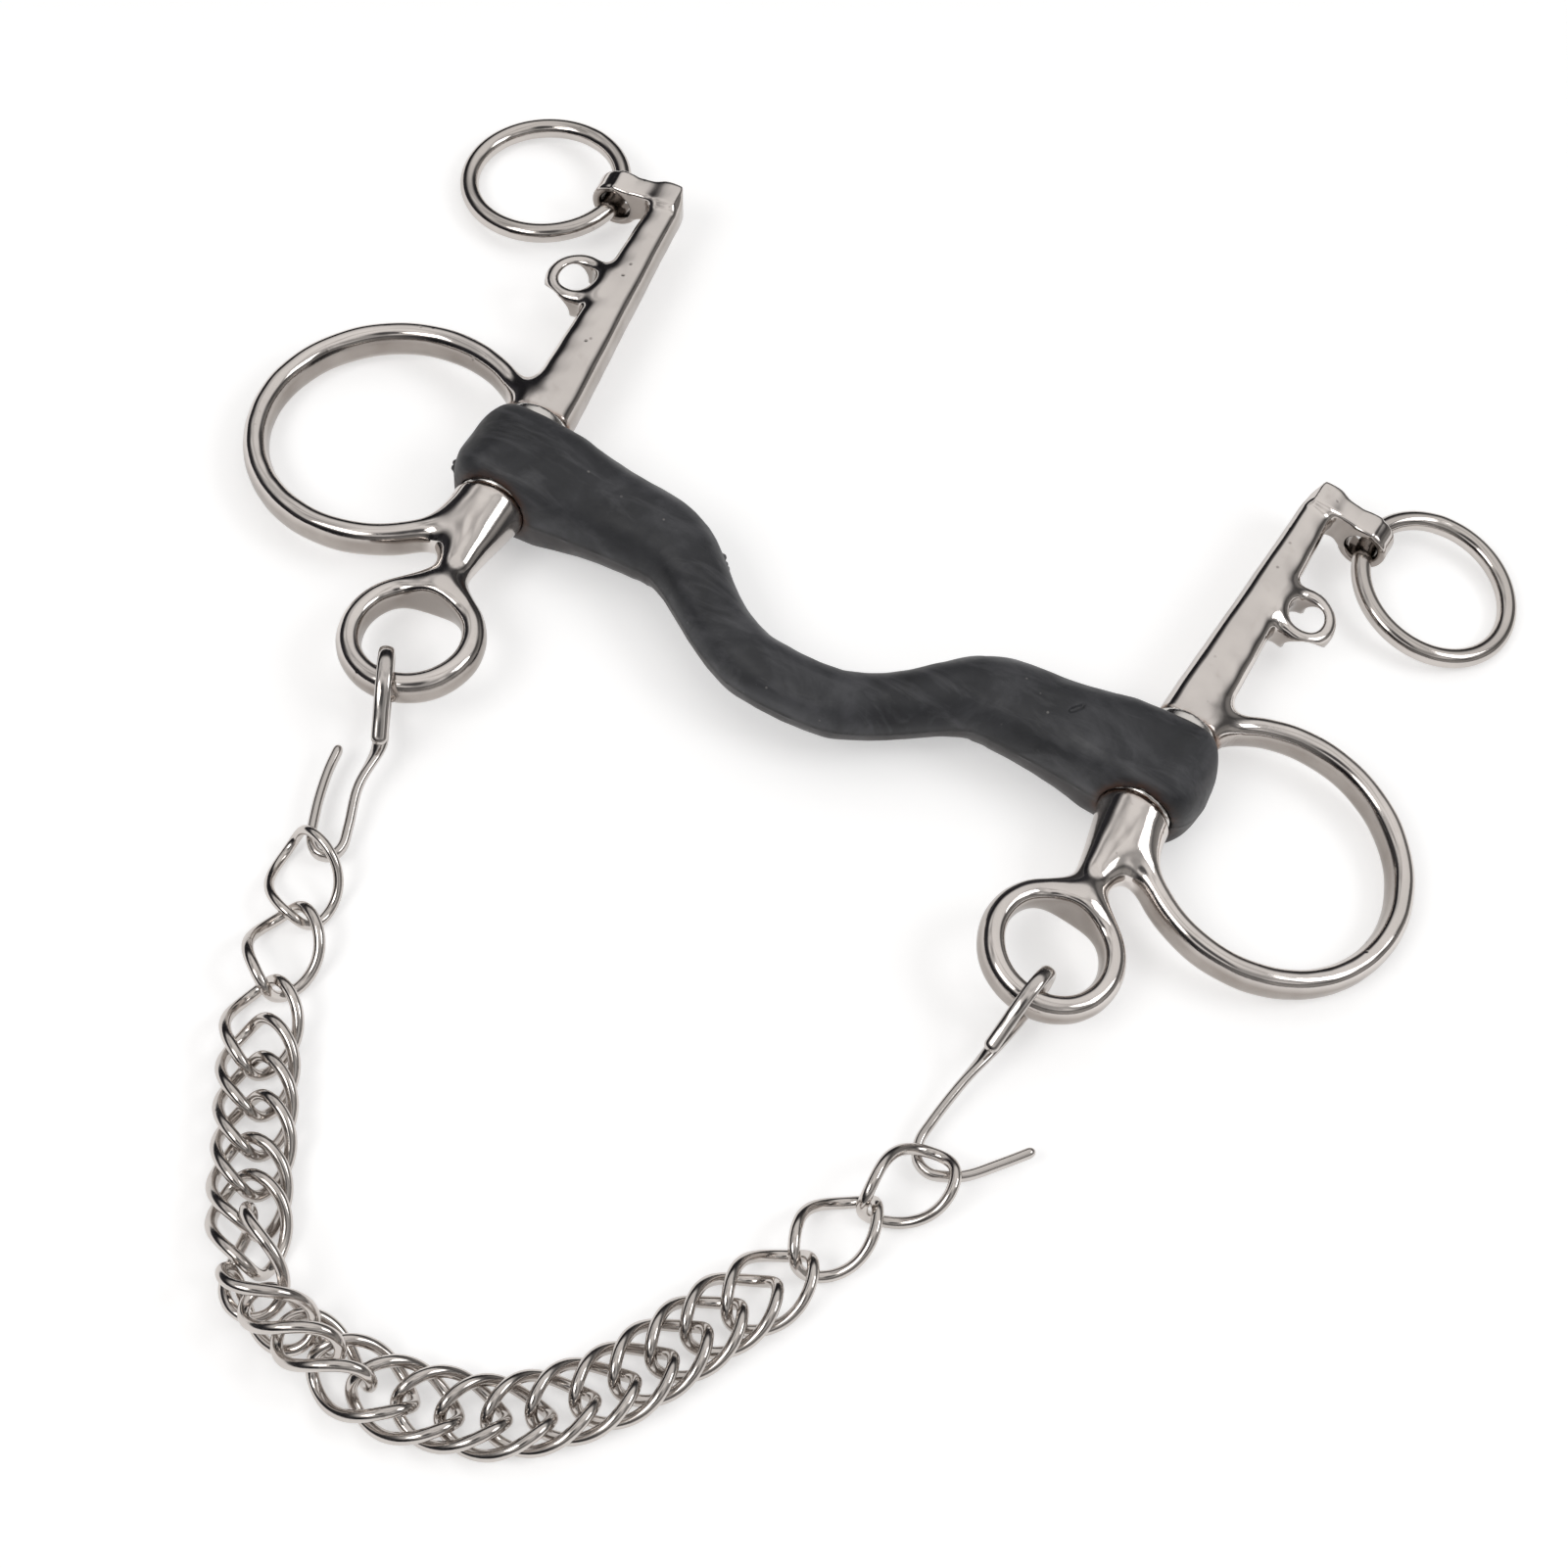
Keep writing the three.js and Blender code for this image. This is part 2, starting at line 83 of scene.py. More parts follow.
# ------------------------------------------------------------------ smooth curves through tables
def spline(xs, ys):
    """A C1 curve through the points, with slopes that never overshoot."""
    xs, ys = np.asarray(xs, float), np.asarray(ys, float)
    h, d = np.diff(xs), np.diff(ys) / np.diff(xs)
    s = np.zeros(len(xs))
    for k in range(1, len(xs) - 1):
        if d[k - 1] * d[k] > 0:
            w1, w2 = 2 * h[k] + h[k - 1], h[k] + 2 * h[k - 1]
            s[k] = (w1 + w2) / (w1 / d[k - 1] + w2 / d[k])
    s[0] = 0 if xs[0] == 0 else d[0]
    s[-1] = 0

    def f(x):
        x = np.clip(np.asarray(x, float), xs[0], xs[-1])
        k = np.clip(np.searchsorted(xs, x) - 1, 0, len(xs) - 2)
        t = (x - xs[k]) / h[k]
        return ((2 * t**3 - 3 * t**2 + 1) * ys[k] + (t**3 - 2 * t**2 + t) * h[k] * s[k]
                + (-2 * t**3 + 3 * t**2) * ys[k + 1] + (t**3 - t**2) * h[k] * s[k + 1])
    return f


bar_y, bar_r, bar_p = spline(BAR_X, BAR_Y), spline(BAR_X, BAR_R), spline(BAR_X, BAR_P)
neck_r = spline([a for a, _ in NECK], [b for _, b in NECK])
shank_in = spline([r[0] for r in SHANK], [r[1] for r in SHANK])
shank_out = spline([r[0] for r in SHANK], [r[2] for r in SHANK])
shank_h = spline([r[0] for r in SHANK], [r[3] for r in SHANK])


# ------------------------------------------------------------------ distance fields
def smin(a, b, k):
    h = np.maximum(k - np.abs(a - b), 0.0) / k
    return np.minimum(a, b) - h * h * k * 0.25


def smax(a, b, k):
    return -smin(-a, -b, k)


def superellipse(u, v, a, b, p):
    """First-order distance to |u/a|^p + |v/b|^p = 1."""
    u, v = np.abs(u) + 1e-6, np.abs(v) + 1e-6
    ua, vb = u / a, v / b
    g = (ua**p + vb**p) ** (1 / p)
    gr = g ** (1 - p) * np.sqrt((ua ** (p - 1) / a) ** 2 + (vb ** (p - 1) / b) ** 2)
    return (g - 1) / np.maximum(gr, 0.35 / np.maximum(a, b))


def ring(x, y, z, c, r, w, h, p):
    return superellipse(np.hypot(x - c[0], y - c[1]) - r, z, w / 2, h / 2, p)


def waviness(x, y, z):
    """Hand polishing: shallow waves, a few hundredths of a millimetre deep."""
    return (0.030 * np.sin(0.31 * x + 1.1) * np.sin(0.23 * y + 0.4)
            + 0.022 * np.sin(0.52 * x - 0.37 * y + 2.0 + 0.3 * z)
            + 0.014 * np.sin(0.95 * y + 0.6 * x + 0.5 * z))


def cheek_field(x, y, z):
    rho = np.hypot(x, z)
    neck = smax(rho - neck_r(y), np.maximum(-36.5 - y, y - SHOULDER_Y0), 0.5)
    shaft = np.maximum(rho - SHAFT_R, np.maximum(-12.0 - y, y - 14.0))
    yy = np.clip(y, 12.2, 81.0)
    x0, x1, hh = shank_in(yy), shank_out(yy), shank_h(yy)
    a = (x1 - x0) / 2
    side = superellipse(x - (x0 + x1) / 2, z, a, hh, 3.1)
    shank = smax(side, np.maximum(SHOULDER_Y1 - y, y - LUG_Y1), 0.9)
    lug = smax(np.hypot(x - LUG_C[0], z - LUG_C[1]) - LUG_R, np.abs(y - (LUG_Y0 + LUG_Y1) / 2) - (LUG_Y1 - LUG_Y0) / 2, 0.9)
    arm = smax(np.maximum(np.abs(x - 4.5) - 6.5, np.abs(z - 0.25) - 3.5),
               np.abs(y - (LUG_Y0 + LUG_Y1) / 2) - (LUG_Y1 - LUG_Y0) / 2, 0.9)
    big = ring(x, y, z, RING_C, RING_R, RING_W, RING_H, 2.25)
    # the ring stops at the boss of the mouthpiece
    boss = np.maximum(rho - 11.0, np.abs(y - 0.7) - 11.5)
    big = smax(big, -boss, 0.8)
    eye = ring(x, y, z, EYE_C, EYE_R, EYE_W, EYE_H, 2.15)
    strap = ring(x, y, z, STRAP_C, STRAP_R, STRAP_W, STRAP_H, 2.6)
    lower = smin(smin(neck, big, 6.5), eye, 5.5)
    # the eye keeps its round hole and tall inner wall
    lower = smax(lower, -(np.hypot(x - EYE_C[0], y - EYE_C[1]) - (EYE_R - EYE_W / 2)), 1.3)
    upper = smin(shank, big, 5.0)
    upper = smin(upper, strap, 3.0)
    upper = smax(upper, -(np.hypot(x - STRAP_C[0], y - STRAP_C[1]) - (STRAP_R - STRAP_W / 2)), 1.0)
    # rounded outer corner of the bracket
    corner = smax(x0 - x, y - LUG_Y1, 6.0) - 3 * np.clip((76 - y) / 4, 0, 1)
    upper = smax(upper, corner, 0.5)
    upper = smin(upper, smin(lug, arm, 1.0), 2.4)
    upper = smax(upper, -(np.hypot(x - LUG_C[0], z - LUG_C[1]) - LUG_HOLE_R), 1.0)
    d = np.minimum(np.minimum(lower, upper), shaft)
    # keep the shoulders square where they meet the bush
    gap = np.maximum(rho - 11.0, np.abs(y - (SHOULDER_Y0 + SHOULDER_Y1) / 2) - (SHOULDER_Y1 - SHOULDER_Y0) / 2)
    d = np.maximum(d, -np.maximum(gap, -(rho - SHAFT_R)))
    # room for the rubber round the bush
    room = np.maximum(np.maximum(rho - 11.25, 6.87 - rho), np.abs(y - 0.7) - 11.5)
    d = np.maximum(d, -room)
    still = np.clip((np.abs(y - 0.7) - 12.5) / 4, 0, 1)
    return d + waviness(x, y, z) * np.maximum(still, np.clip((rho - 13) / 3, 0, 1))


def closest_t(x, y):
    t = np.abs(x)
    for _ in range(7):
        c = bar_y(t)
        s = (bar_y(t + 0.05) - bar_y(np.maximum(t - 0.05, 0))) / (t + 0.05 - np.maximum(t - 0.05, 0))
        t = np.clip(t - ((t - np.abs(x)) + (c - y) * s) / (1 + s * s), 0, AXIS_X)
    return t


def along_shaft(x, y):
    """Coordinates in the frame of the cheek shaft on that side: outward, along."""
    s, c = math.sin(SPLAY), math.cos(SPLAY)
    dx = np.abs(x) - AXIS_X
    return dx * c - y * s, dx * s + y * c


NICKS = [((48.9, -1.6, 9.15), (50.4, 0.3, 9.35), 0.42)]       # a small cut in the top
NUBS = []


def segment(x, y, z, a, b, r):
    a, b = np.asarray(a, float), np.asarray(b, float)
    d = b - a
    t = np.clip(((x - a[0]) * d[0] + (y - a[1]) * d[1] + (z - a[2]) * d[2]) / (d @ d), 0, 1)
    return np.sqrt((x - a[0] - t * d[0]) ** 2 + (y - a[1] - t * d[1]) ** 2 + (z - a[2] - t * d[2]) ** 2) - r


def cover_field(x, y, z):
    t = closest_t(x, y)
    c = bar_y(t)
    tube = superellipse(np.sqrt((np.abs(x) - t) ** 2 + (y - c) ** 2), z, bar_r(t), bar_r(t), bar_p(t))
    # the boss round the eye of the bar: round across the shaft, blunt along it
    dx = np.maximum(np.abs(x) - AXIS_X, 0)
    q = np.sqrt(dx**2 + z**2) / 10.4
    ky = np.sqrt(np.clip(1 - 0.78 * (dx / 10.4) ** 2.8, 0.1, 1)) * np.clip(1 - (np.abs(z) / 10.4) ** 3.4, 0.0, 1) ** (1 / 3.4)
    boss = smax((q - 1) * 10.4, np.abs(y) - 10.4 * ky, 0.05 + 3.0 * np.clip(dx / 10.4, 0, 1))
    d = np.where(np.abs(x) < AXIS_X, tube, boss)
    for cx, cy, cz, r in NUBS:
        d = smin(d, np.sqrt((x - cx) ** 2 + (y - cy) ** 2 + (z - cz) ** 2) - r, 0.5)
    # moulding line at half height, with a trace of flash
    ridge = np.exp(-(z / 0.28) ** 2) * (0.13 + 0.05 * np.sin(0.8 * x) * np.sin(0.23 * x + 1.0))
    d = d - ridge
    for a, b, r in NICKS:
        d = np.maximum(d, -segment(x, y, z, a, b, r))
    u, v = along_shaft(x, y)
    bore = np.hypot(u, z) - (BUSH_R + 0.15)
    d = smax(d, -bore, 0.35)
    core = np.sqrt((np.abs(x) - t) ** 2 + (y - c) ** 2 + z**2) - (CORE_R + 0.3)
    d = np.maximum(d, -core)
    return d + 0.03 * np.sin(0.5 * x + 0.3) * np.sin(0.7 * y + 0.9 * z) + 0.02 * np.sin(1.3 * x) * np.sin(1.1 * z + y)


def snap(p, r):
    """A small ball whose middle is brought onto the rubber's surface."""
    p = np.asarray(p, float)
    for _ in range(12):
        f0 = float(cover_field(*p[:, None])[0])
        g = np.array([float((cover_field(*(p + 0.02 * e)[:, None]) - cover_field(*(p - 0.02 * e)[:, None]))[0]) / 0.04 for e in np.eye(3)])
        p = p - f0 * g / max(g @ g, 0.2)
    return (*p, r)


# torn flash on the moulding line
NUBS += [snap(p, r) for p, r in (((-24.3, 1.3, 1.0), 0.7), ((-23.2, 0.2, 0.8), 0.55), ((-22.5, -0.6, 0.6), 0.45), ((-77.9, -5.8, 0.4), 0.6), ((-78.2, -4.4, 0.2), 0.6))]


def core_field(x, y, z):
    t = closest_t(x, y)
    c = bar_y(t)
    bar = np.sqrt((np.abs(x) - t) ** 2 + (y - c) ** 2 + z**2) - CORE_R
    u, v = along_shaft(x, y)
    rho = np.hypot(u, z)
    bush = smax(rho - BUSH_R, np.abs(v - (BUSH_Y0 + BUSH_Y1) / 2) - (BUSH_Y1 - BUSH_Y0) / 2, 0.7)
    d = smin(bar, bush, 1.5)
    return smax(d, -(rho - BUSH_BORE_R), 0.5)


# ------------------------------------------------------------------ field -> clean quads
def surface(field, lo, hi, h, relax=2):
    """Surface nets on a grid, then every vertex is moved onto the field's zero."""
    lo = np.asarray(lo, float)
    n = [int(math.ceil((hi[k] - lo[k]) / h)) + 1 for k in range(3)]
    ax = [lo[k] + h * np.arange(n[k]) for k in range(3)]
    val = np.empty(n, np.float32)
    step = 24
    for i in range(0, n[0], step):
        X, Y, Z = np.meshgrid(ax[0][i:i + step], ax[1], ax[2], indexing="ij")
        val[i:i + step] = field(X, Y, Z)
    val[val == 0] = 1e-6
    ins = val < 0
    cells = np.zeros([k - 1 for k in n], np.int16)
    for a in (0, 1):
        for b in (0, 1):
            for c in (0, 1):
                cells += ins[a:n[0] - 1 + a, b:n[1] - 1 + b, c:n[2] - 1 + c]
    act = np.argwhere((cells > 0) & (cells < 8))
    ids = np.full([k - 1 for k in n], -1, np.int64)
    ids[act[:, 0], act[:, 1], act[:, 2]] = np.arange(len(act))
    total, count = np.zeros((len(act), 3)), np.zeros(len(act))
    for axis in range(3):
        o1, o2 = [k for k in range(3) if k != axis]
        for s1 in (0, 1):
            for s2 in (0, 1):
                p = act.copy()
                p[:, o1] += s1
                p[:, o2] += s2
                q = p.copy()
                q[:, axis] += 1
                va, vb = val[p[:, 0], p[:, 1], p[:, 2]], val[q[:, 0], q[:, 1], q[:, 2]]
                hit = (va < 0) != (vb < 0)
                t = np.where(hit, va / np.where(hit, va - vb, 1), 0)
                pt = p.astype(float)
                pt[:, axis] += t
                total[hit] += pt[hit]
                count[hit] += 1
    v = lo + h * total / count[:, None]
    quads = []
    for axis in range(3):
        o1, o2 = [k for k in range(3) if k != axis]
        sl_a = [slice(None)] * 3
        sl_b = [slice(None)] * 3
        sl_a[axis], sl_b[axis] = slice(0, n[axis] - 1), slice(1, n[axis])
        a, b = ins[tuple(sl_a)], ins[tuple(sl_b)]
        e = np.argwhere(a != b)
        e = e[(e[:, o1] > 0) & (e[:, o2] > 0) & (e[:, o1] < n[o1] - 1) & (e[:, o2] < n[o2] - 1)]
        up = a[e[:, 0], e[:, 1], e[:, 2]]

        def cell(d1, d2):
            c = e.copy()
            c[:, o1] -= d1
            c[:, o2] -= d2
            return ids[c[:, 0], c[:, 1], c[:, 2]]
        q = np.stack([cell(0, 0), cell(1, 0), cell(1, 1), cell(0, 1)], 1)
        flip = up if axis != 1 else ~up
        q[flip] = q[flip][:, ::-1]
        quads.append(q)
    quads = np.concatenate(quads)[:, ::-1]

    def project(v, times):
        eps = 0.02
        for _ in range(times):
            f0 = field(v[:, 0], v[:, 1], v[:, 2])
            g = np.stack([(field(v[:, 0] + eps * (k == 0), v[:, 1] + eps * (k == 1), v[:, 2] + eps * (k == 2))
                           - field(v[:, 0] - eps * (k == 0), v[:, 1] - eps * (k == 1), v[:, 2] - eps * (k == 2))) / (2 * eps)
                          for k in range(3)], 1)
            g2 = np.maximum((g * g).sum(1), 0.15)
            mv = -(f0 / g2)[:, None] * g
            ln = np.linalg.norm(mv, axis=1)
            mv *= np.minimum(1, 0.5 * h / np.maximum(ln, 1e-9))[:, None]
            v = v + mv
        return v
    v = project(v, 2)
    edges = np.concatenate([quads[:, [0, 1]], quads[:, [1, 2]], quads[:, [2, 3]], quads[:, [3, 0]]])
    for _ in range(relax):
        s, c = np.zeros_like(v), np.zeros(len(v))
        for k in range(3):
            s[:, k] = np.bincount(edges[:, 0], v[edges[:, 1], k], len(v)) + np.bincount(edges[:, 1], v[edges[:, 0], k], len(v))
        c = np.bincount(edges[:, 0], minlength=len(v)) + np.bincount(edges[:, 1], minlength=len(v))
        v = project(v + 0.5 * (s / c[:, None] - v), 1)
    return project(v, 1), quads


# ------------------------------------------------------------------ swept tubes
def loop_tube(pts, nrm, a, b, nv, p=2.0, scale=None):
    """A closed tube round the closed line pts, with the section's a side along nrm."""
    n = len(pts)
    tan = np.roll(pts, -1, 0) - np.roll(pts, 1, 0)
    tan /= np.linalg.norm(tan, axis=1)[:, None]
    nn = nrm - (nrm * tan).sum(1)[:, None] * tan
    nn /= np.linalg.norm(nn, axis=1)[:, None]
    bb = np.cross(tan, nn)
    th = 2 * math.pi * np.arange(nv) / nv
    r = 1 / (np.abs(np.cos(th)) ** p + np.abs(np.sin(th)) ** p) ** (1 / p)
    s, t = a * r * np.cos(th), b * r * np.sin(th)
    sc = np.ones(n) if scale is None else scale
    v = pts[:, None] + (nn[:, None] * s[None, :, None] + bb[:, None] * t[None, :, None]) * sc[:, None, None]
    i, j = np.meshgrid(np.arange(n), np.arange(nv), indexing="ij")
    i2, j2 = (i + 1) % n, (j + 1) % nv
    q = np.stack([i * nv + j, i2 * nv + j, i2 * nv + j2, i * nv + j2], -1).reshape(-1, 4)[:, ::-1]
    return v.reshape(-1, 3), q


def bar_tube(pts, nn, bb, a, b, nv, p):
    """A capped tube; a and b are arrays of half sizes."""
    n = len(pts)
    th = 2 * math.pi * (np.arange(nv) + 0.5) / nv
    r = 1 / (np.abs(np.cos(th)) ** p + np.abs(np.sin(th)) ** p) ** (1 / p)
    s, t = r * np.cos(th), r * np.sin(th)
    v = pts[:, None] + nn[:, None] * (a[:, None] * s)[:, :, None] + bb[:, None] * (b[:, None] * t)[:, :, None]
    i, j = np.meshgrid(np.arange(n - 1), np.arange(nv), indexing="ij")
    j2 = (j + 1) % nv
    q = np.stack([i * nv + j, i * nv + j2, (i + 1) * nv + j2, (i + 1) * nv + j], -1).reshape(-1, 4)
    v = v.reshape(-1, 3)
    k = len(v)
    v = np.vstack([v, pts[0], pts[-1]])
    tri = [(k, (j + 1) % nv, j) for j in range(nv)]
    tri += [(k + 1, (n - 1) * nv + j, (n - 1) * nv + (j + 1) % nv) for j in range(nv)]
    return v, [tuple(x) for x in q.tolist()] + tri


def catmull(points, ts):
    """Centripetal Catmull-Rom through the points, at parameters 0..1."""
    P = np.asarray(points, float)
    n = len(P)
    out = []
    for t in ts:
        s = (n - 1) * t
        k = min(int(s), n - 2)
        w = s - k
        p1, p2 = P[k], P[k + 1]
        p0 = P[k - 1] if k > 0 else 2 * P[0] - P[1]
        p3 = P[k + 2] if k + 2 < n else 2 * P[-1] - P[-2]
        d = [max(((b - a) @ (b - a)) ** 0.25, 1e-4) for a, b in ((p0, p1), (p1, p2), (p2, p3))]
        t1 = ((p1 - p0) / d[0] - (p2 - p0) / (d[0] + d[1]) + (p2 - p1) / d[1]) * d[1]
        t2 = ((p2 - p1) / d[1] - (p3 - p1) / (d[1] + d[2]) + (p3 - p2) / d[2]) * d[1]
        c2, c3 = -3 * p1 + 3 * p2 - 2 * t1 - t2, 2 * p1 - 2 * p2 + t1 + t2
        out.append(p1 + t1 * w + c2 * w * w + c3 * w**3)
    return np.array(out)


# ------------------------------------------------------------------ building objects
def add(name, verts, faces, body, node, material, attrs=None, sharp=None):
    me = bpy.data.meshes.new(name)
    v = np.asarray(verts, float).copy()
    v[:, 1] += SHIFT_Y
    v *= MM
    faces = faces.tolist() if isinstance(faces, np.ndarray) else faces
    me.from_pydata(v.tolist(), [], faces)
    me.polygons.foreach_set("use_smooth", [True] * len(me.polygons))
    for key, arr in (attrs or {}).items():
        at = me.attributes.new(key, "FLOAT", "POINT")
        at.data.foreach_set("value", np.asarray(arr, np.float32))
    me.update()
    o = bpy.data.objects.new(name, me)
    scene.collection.objects.link(o)
    me.materials.append(material)
    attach(o, body)
    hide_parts(node)
    return o


# ------------------------------------------------------------------ materials
def nodes_of(name):
    mat = bpy.data.materials.new(name)
    mat.use_nodes = True
    nt = mat.node_tree
    for n in list(nt.nodes):
        nt.nodes.remove(n)
    out = nt.nodes.new("ShaderNodeOutputMaterial")
    bsdf = nt.nodes.new("ShaderNodeBsdfPrincipled")
    nt.links.new(bsdf.outputs[0], out.inputs[0])
    tc = nt.nodes.new("ShaderNodeTexCoord")
    return mat, nt, bsdf, tc.outputs["Object"]


def noise(nt, vec, scale, detail=3.0, rough=0.5, distort=0.0):
    n = nt.nodes.new("ShaderNodeTexNoise")
    n.inputs["Scale"].default_value = scale
    n.inputs["Detail"].default_value = detail
    n.inputs["Roughness"].default_value = rough
    n.inputs["Distortion"].default_value = distort
    nt.links.new(vec, n.inputs["Vector"])
    return n.outputs["Fac"]


def stretched(nt, vec, rot, scale):
    mp = nt.nodes.new("ShaderNodeMapping")
    mp.inputs["Rotation"].default_value = rot
    mp.inputs["Scale"].default_value = scale
    nt.links.new(vec, mp.inputs["Vector"])
    return mp.outputs[0]


def ramp(nt, fac, stops):
    r = nt.nodes.new("ShaderNodeValToRGB")
    e = r.color_ramp.elements
    while len(e) < len(stops):
        e.new(0.5)
    for k, (pos, col) in enumerate(stops):
        e[k].position = pos
        e[k].color = (*col, 1) if len(col) == 3 else col
    nt.links.new(fac, r.inputs[0])
    return r.outputs[0]


def rng(nt, fac, a0, a1, b0, b1):
    r = nt.nodes.new("ShaderNodeMapRange")
    r.inputs[1].default_value, r.inputs[2].default_value = a0, a1
    r.inputs[3].default_value, r.inputs[4].default_value = b0, b1
    nt.links.new(fac, r.inputs[0])
    return r.outputs[0]


def math_(nt, op, a, b):
    n = nt.nodes.new("ShaderNodeMath")
    n.operation = op
    for k, x in enumerate((a, b)):
        if isinstance(x, (int, float)):
            n.inputs[k].default_value = x
        else:
            nt.links.new(x, n.inputs[k])
    return n.outputs[0]


def mix(nt, fac, a, b, blend="MIX"):
    n = nt.nodes.new("ShaderNodeMix")
    n.data_type = "RGBA"
    n.blend_type = blend
    for sock, x in ((n.inputs[0], fac), (n.inputs[6], a), (n.inputs[7], b)):
        if hasattr(x, "is_linked"):
            nt.links.new(x, sock)
        elif isinstance(x, (int, float)):
            sock.default_value = x
        else:
            sock.default_value = (*x, 1)
    return n.outputs[2]


def bump(nt, height, strength, dist, normal=None):
    b = nt.nodes.new("ShaderNodeBump")
    b.inputs["Strength"].default_value = strength
    b.inputs["Distance"].default_value = dist
    nt.links.new(height, b.inputs["Height"])
    if normal is not None:
        nt.links.new(normal, b.inputs["Normal"])
    return b.outputs[0]


def attribute(nt, name):
    n = nt.nodes.new("ShaderNodeAttribute")
    n.attribute_name = name
    return n.outputs["Fac"]


def steel(name, tint=(0.70, 0.655, 0.625), rough=0.10, pits=0.6, seam=False, worn=0.0):
    mat, nt, b, vec = nodes_of(name)
    b.inputs["Metallic"].default_value = 1.0
    broad = noise(nt, vec, 60, 3, 0.55)
    dull = tuple(0.86 * c for c in tint)
    col = mix(nt, rng(nt, broad, 0.35, 0.7, 0.0, 1.0), tint, dull)
    # sparse dark casting pits
    vor = nt.nodes.new("ShaderNodeTexVoronoi")
    vor.inputs["Scale"].default_value = 330
    vor.inputs["Randomness"].default_value = 1.0
    nt.links.new(vec, vor.inputs["Vector"])
    sparse = rng(nt, noise(nt, vec, 120, 2, 0.5), 0.56, 0.66, 0.0, 1.0)
    pit = math_(nt, "MULTIPLY", rng(nt, vor.outputs["Distance"], 0.06, 0.16, 1.0, 0.0), sparse)
    pit = math_(nt, "MULTIPLY", pit, pits)
    col = mix(nt, pit, col, (0.12, 0.10, 0.09))
    # tarnish in cloudy patches
    cloud = rng(nt, noise(nt, vec, 210, 4, 0.6, 0.6), 0.58, 0.78, 0.0, 0.35 + 0.3 * worn)
    col = mix(nt, cloud, col, (0.50, 0.455, 0.42))
    rough_out = rng(nt, noise(nt, vec, 140, 4, 0.6), 0.3, 0.75, rough * 0.6, rough * 1.8)
    if seam:
        # painted shade: the colour is darkened on the steep sides of the casting by their slope; the added roughness is
        # real finish
        wall = math_(nt, "MULTIPLY", attribute(nt, "wall_shade"), rng(nt, noise(nt, vec, 95, 3, 0.5), 0.35, 0.65, 0.72, 1.0))
        col = mix(nt, wall, col, (0.315, 0.280, 0.255))
        rough_out = math_(nt, "ADD", rough_out, math_(nt, "MULTIPLY", wall, 0.12))
        # dark brown grime together with painted shade in the tight places: lug hole, strap eyelet and ring webs
        col = mix(nt, math_(nt, "MULTIPLY", attribute(nt, "grime_and_shade"), 0.6), col, (0.10, 0.085, 0.075))
        stain = math_(nt, "MULTIPLY", attribute(nt, "seam"), rng(nt, noise(nt, vec, 420, 3, 0.6), 0.35, 0.62, 0.1, 1.0))
        col = mix(nt, stain, col, (0.21, 0.085, 0.03))
        rough_out = math_(nt, "ADD", rough_out, math_(nt, "MULTIPLY", stain, 0.4))
    nt.links.new(col, b.inputs["Base Color"])
    nt.links.new(rough_out, b.inputs["Roughness"])
    # fine polishing scratches in two directions, and the pits
    s1 = noise(nt, stretched(nt, vec, (0, 0, 0.35), (900, 12000, 5000)), 1.0, 2, 0.5)
    s2 = noise(nt, stretched(nt, vec, (0, 0, -0.6), (11000, 1100, 5000)), 1.0, 2, 0.5)
    n1 = bump(nt, s1, 0.05, 0.00004)
    n2 = bump(nt, s2, 0.05, 0.00004, n1)
    inv = math_(nt, "SUBTRACT", 1.0, pit)
    n3 = bump(nt, inv, 0.5, 0.00012, n2)
    nt.links.new(n3, b.inputs["Normal"])
    return mat


def rubber(name):
    mat, nt, b, vec = nodes_of(name)
    b.inputs["Metallic"].default_value = 0.0
    b.inputs["Specular IOR Level"].default_value = 0.42
    b.inputs["Sheen Weight"].default_value = 0.06
    b.inputs["Sheen Roughness"].default_value = 0.45
    base = ramp(nt, noise(nt, vec, 62, 5, 0.6, 0.5), [(0.34, (0.0150, 0.0158, 0.0185)), (0.52, (0.0290, 0.0300, 0.0345)), (0.66, (0.058, 0.0590, 0.0655))])
    # chalky smears where the mouth and the bridle have rubbed it
    smear = rng(nt, noise(nt, stretched(nt, vec, (0, 0, 0.5), (60, 260, 160)), 1.0, 5, 0.62, 0.8), 0.50, 0.72, 0.0, 0.62)
    base = mix(nt, smear, base, (0.088, 0.088, 0.096))
    # browner on the underside of the moulding line
    base = mix(nt, math_(nt, "MULTIPLY", attribute(nt, "under"), 0.55), base, (0.040, 0.031, 0.028))
    # pale specks
    vor = nt.nodes.new("ShaderNodeTexVoronoi")
    vor.inputs["Scale"].default_value = 300
    nt.links.new(vec, vor.inputs["Vector"])
    speck = math_(nt, "MULTIPLY", rng(nt, vor.outputs["Distance"], 0.05, 0.10, 1.0, 0.0), rng(nt, noise(nt, vec, 90, 1, 0.5), 0.60, 0.66, 0.0, 0.8))
    base = mix(nt, speck, base, (0.20, 0.19, 0.185))
    # darker in the moulding line, browner near the shafts
    base = mix(nt, math_(nt, "MULTIPLY", attribute(nt, "line"), 0.6), base, (0.012, 0.011, 0.011))
    stain = math_(nt, "MULTIPLY", attribute(nt, "seam"), rng(nt, noise(nt, vec, 380, 3, 0.6), 0.35, 0.65, 0.15, 0.9))
    base = mix(nt, stain, base, (0.07, 0.032, 0.018))
    nt.links.new(base, b.inputs["Base Color"])
    nt.links.new(rng(nt, noise(nt, vec, 160, 4, 0.6), 0.3, 0.7, 0.40, 0.60), b.inputs["Roughness"])
    n1 = bump(nt, noise(nt, vec, 2600, 4, 0.65), 0.22, 0.00005)
    n2 = bump(nt, noise(nt, vec, 330, 3, 0.55), 0.25, 0.00022, n1)
    nt.links.new(n2, b.inputs["Normal"])
    return mat


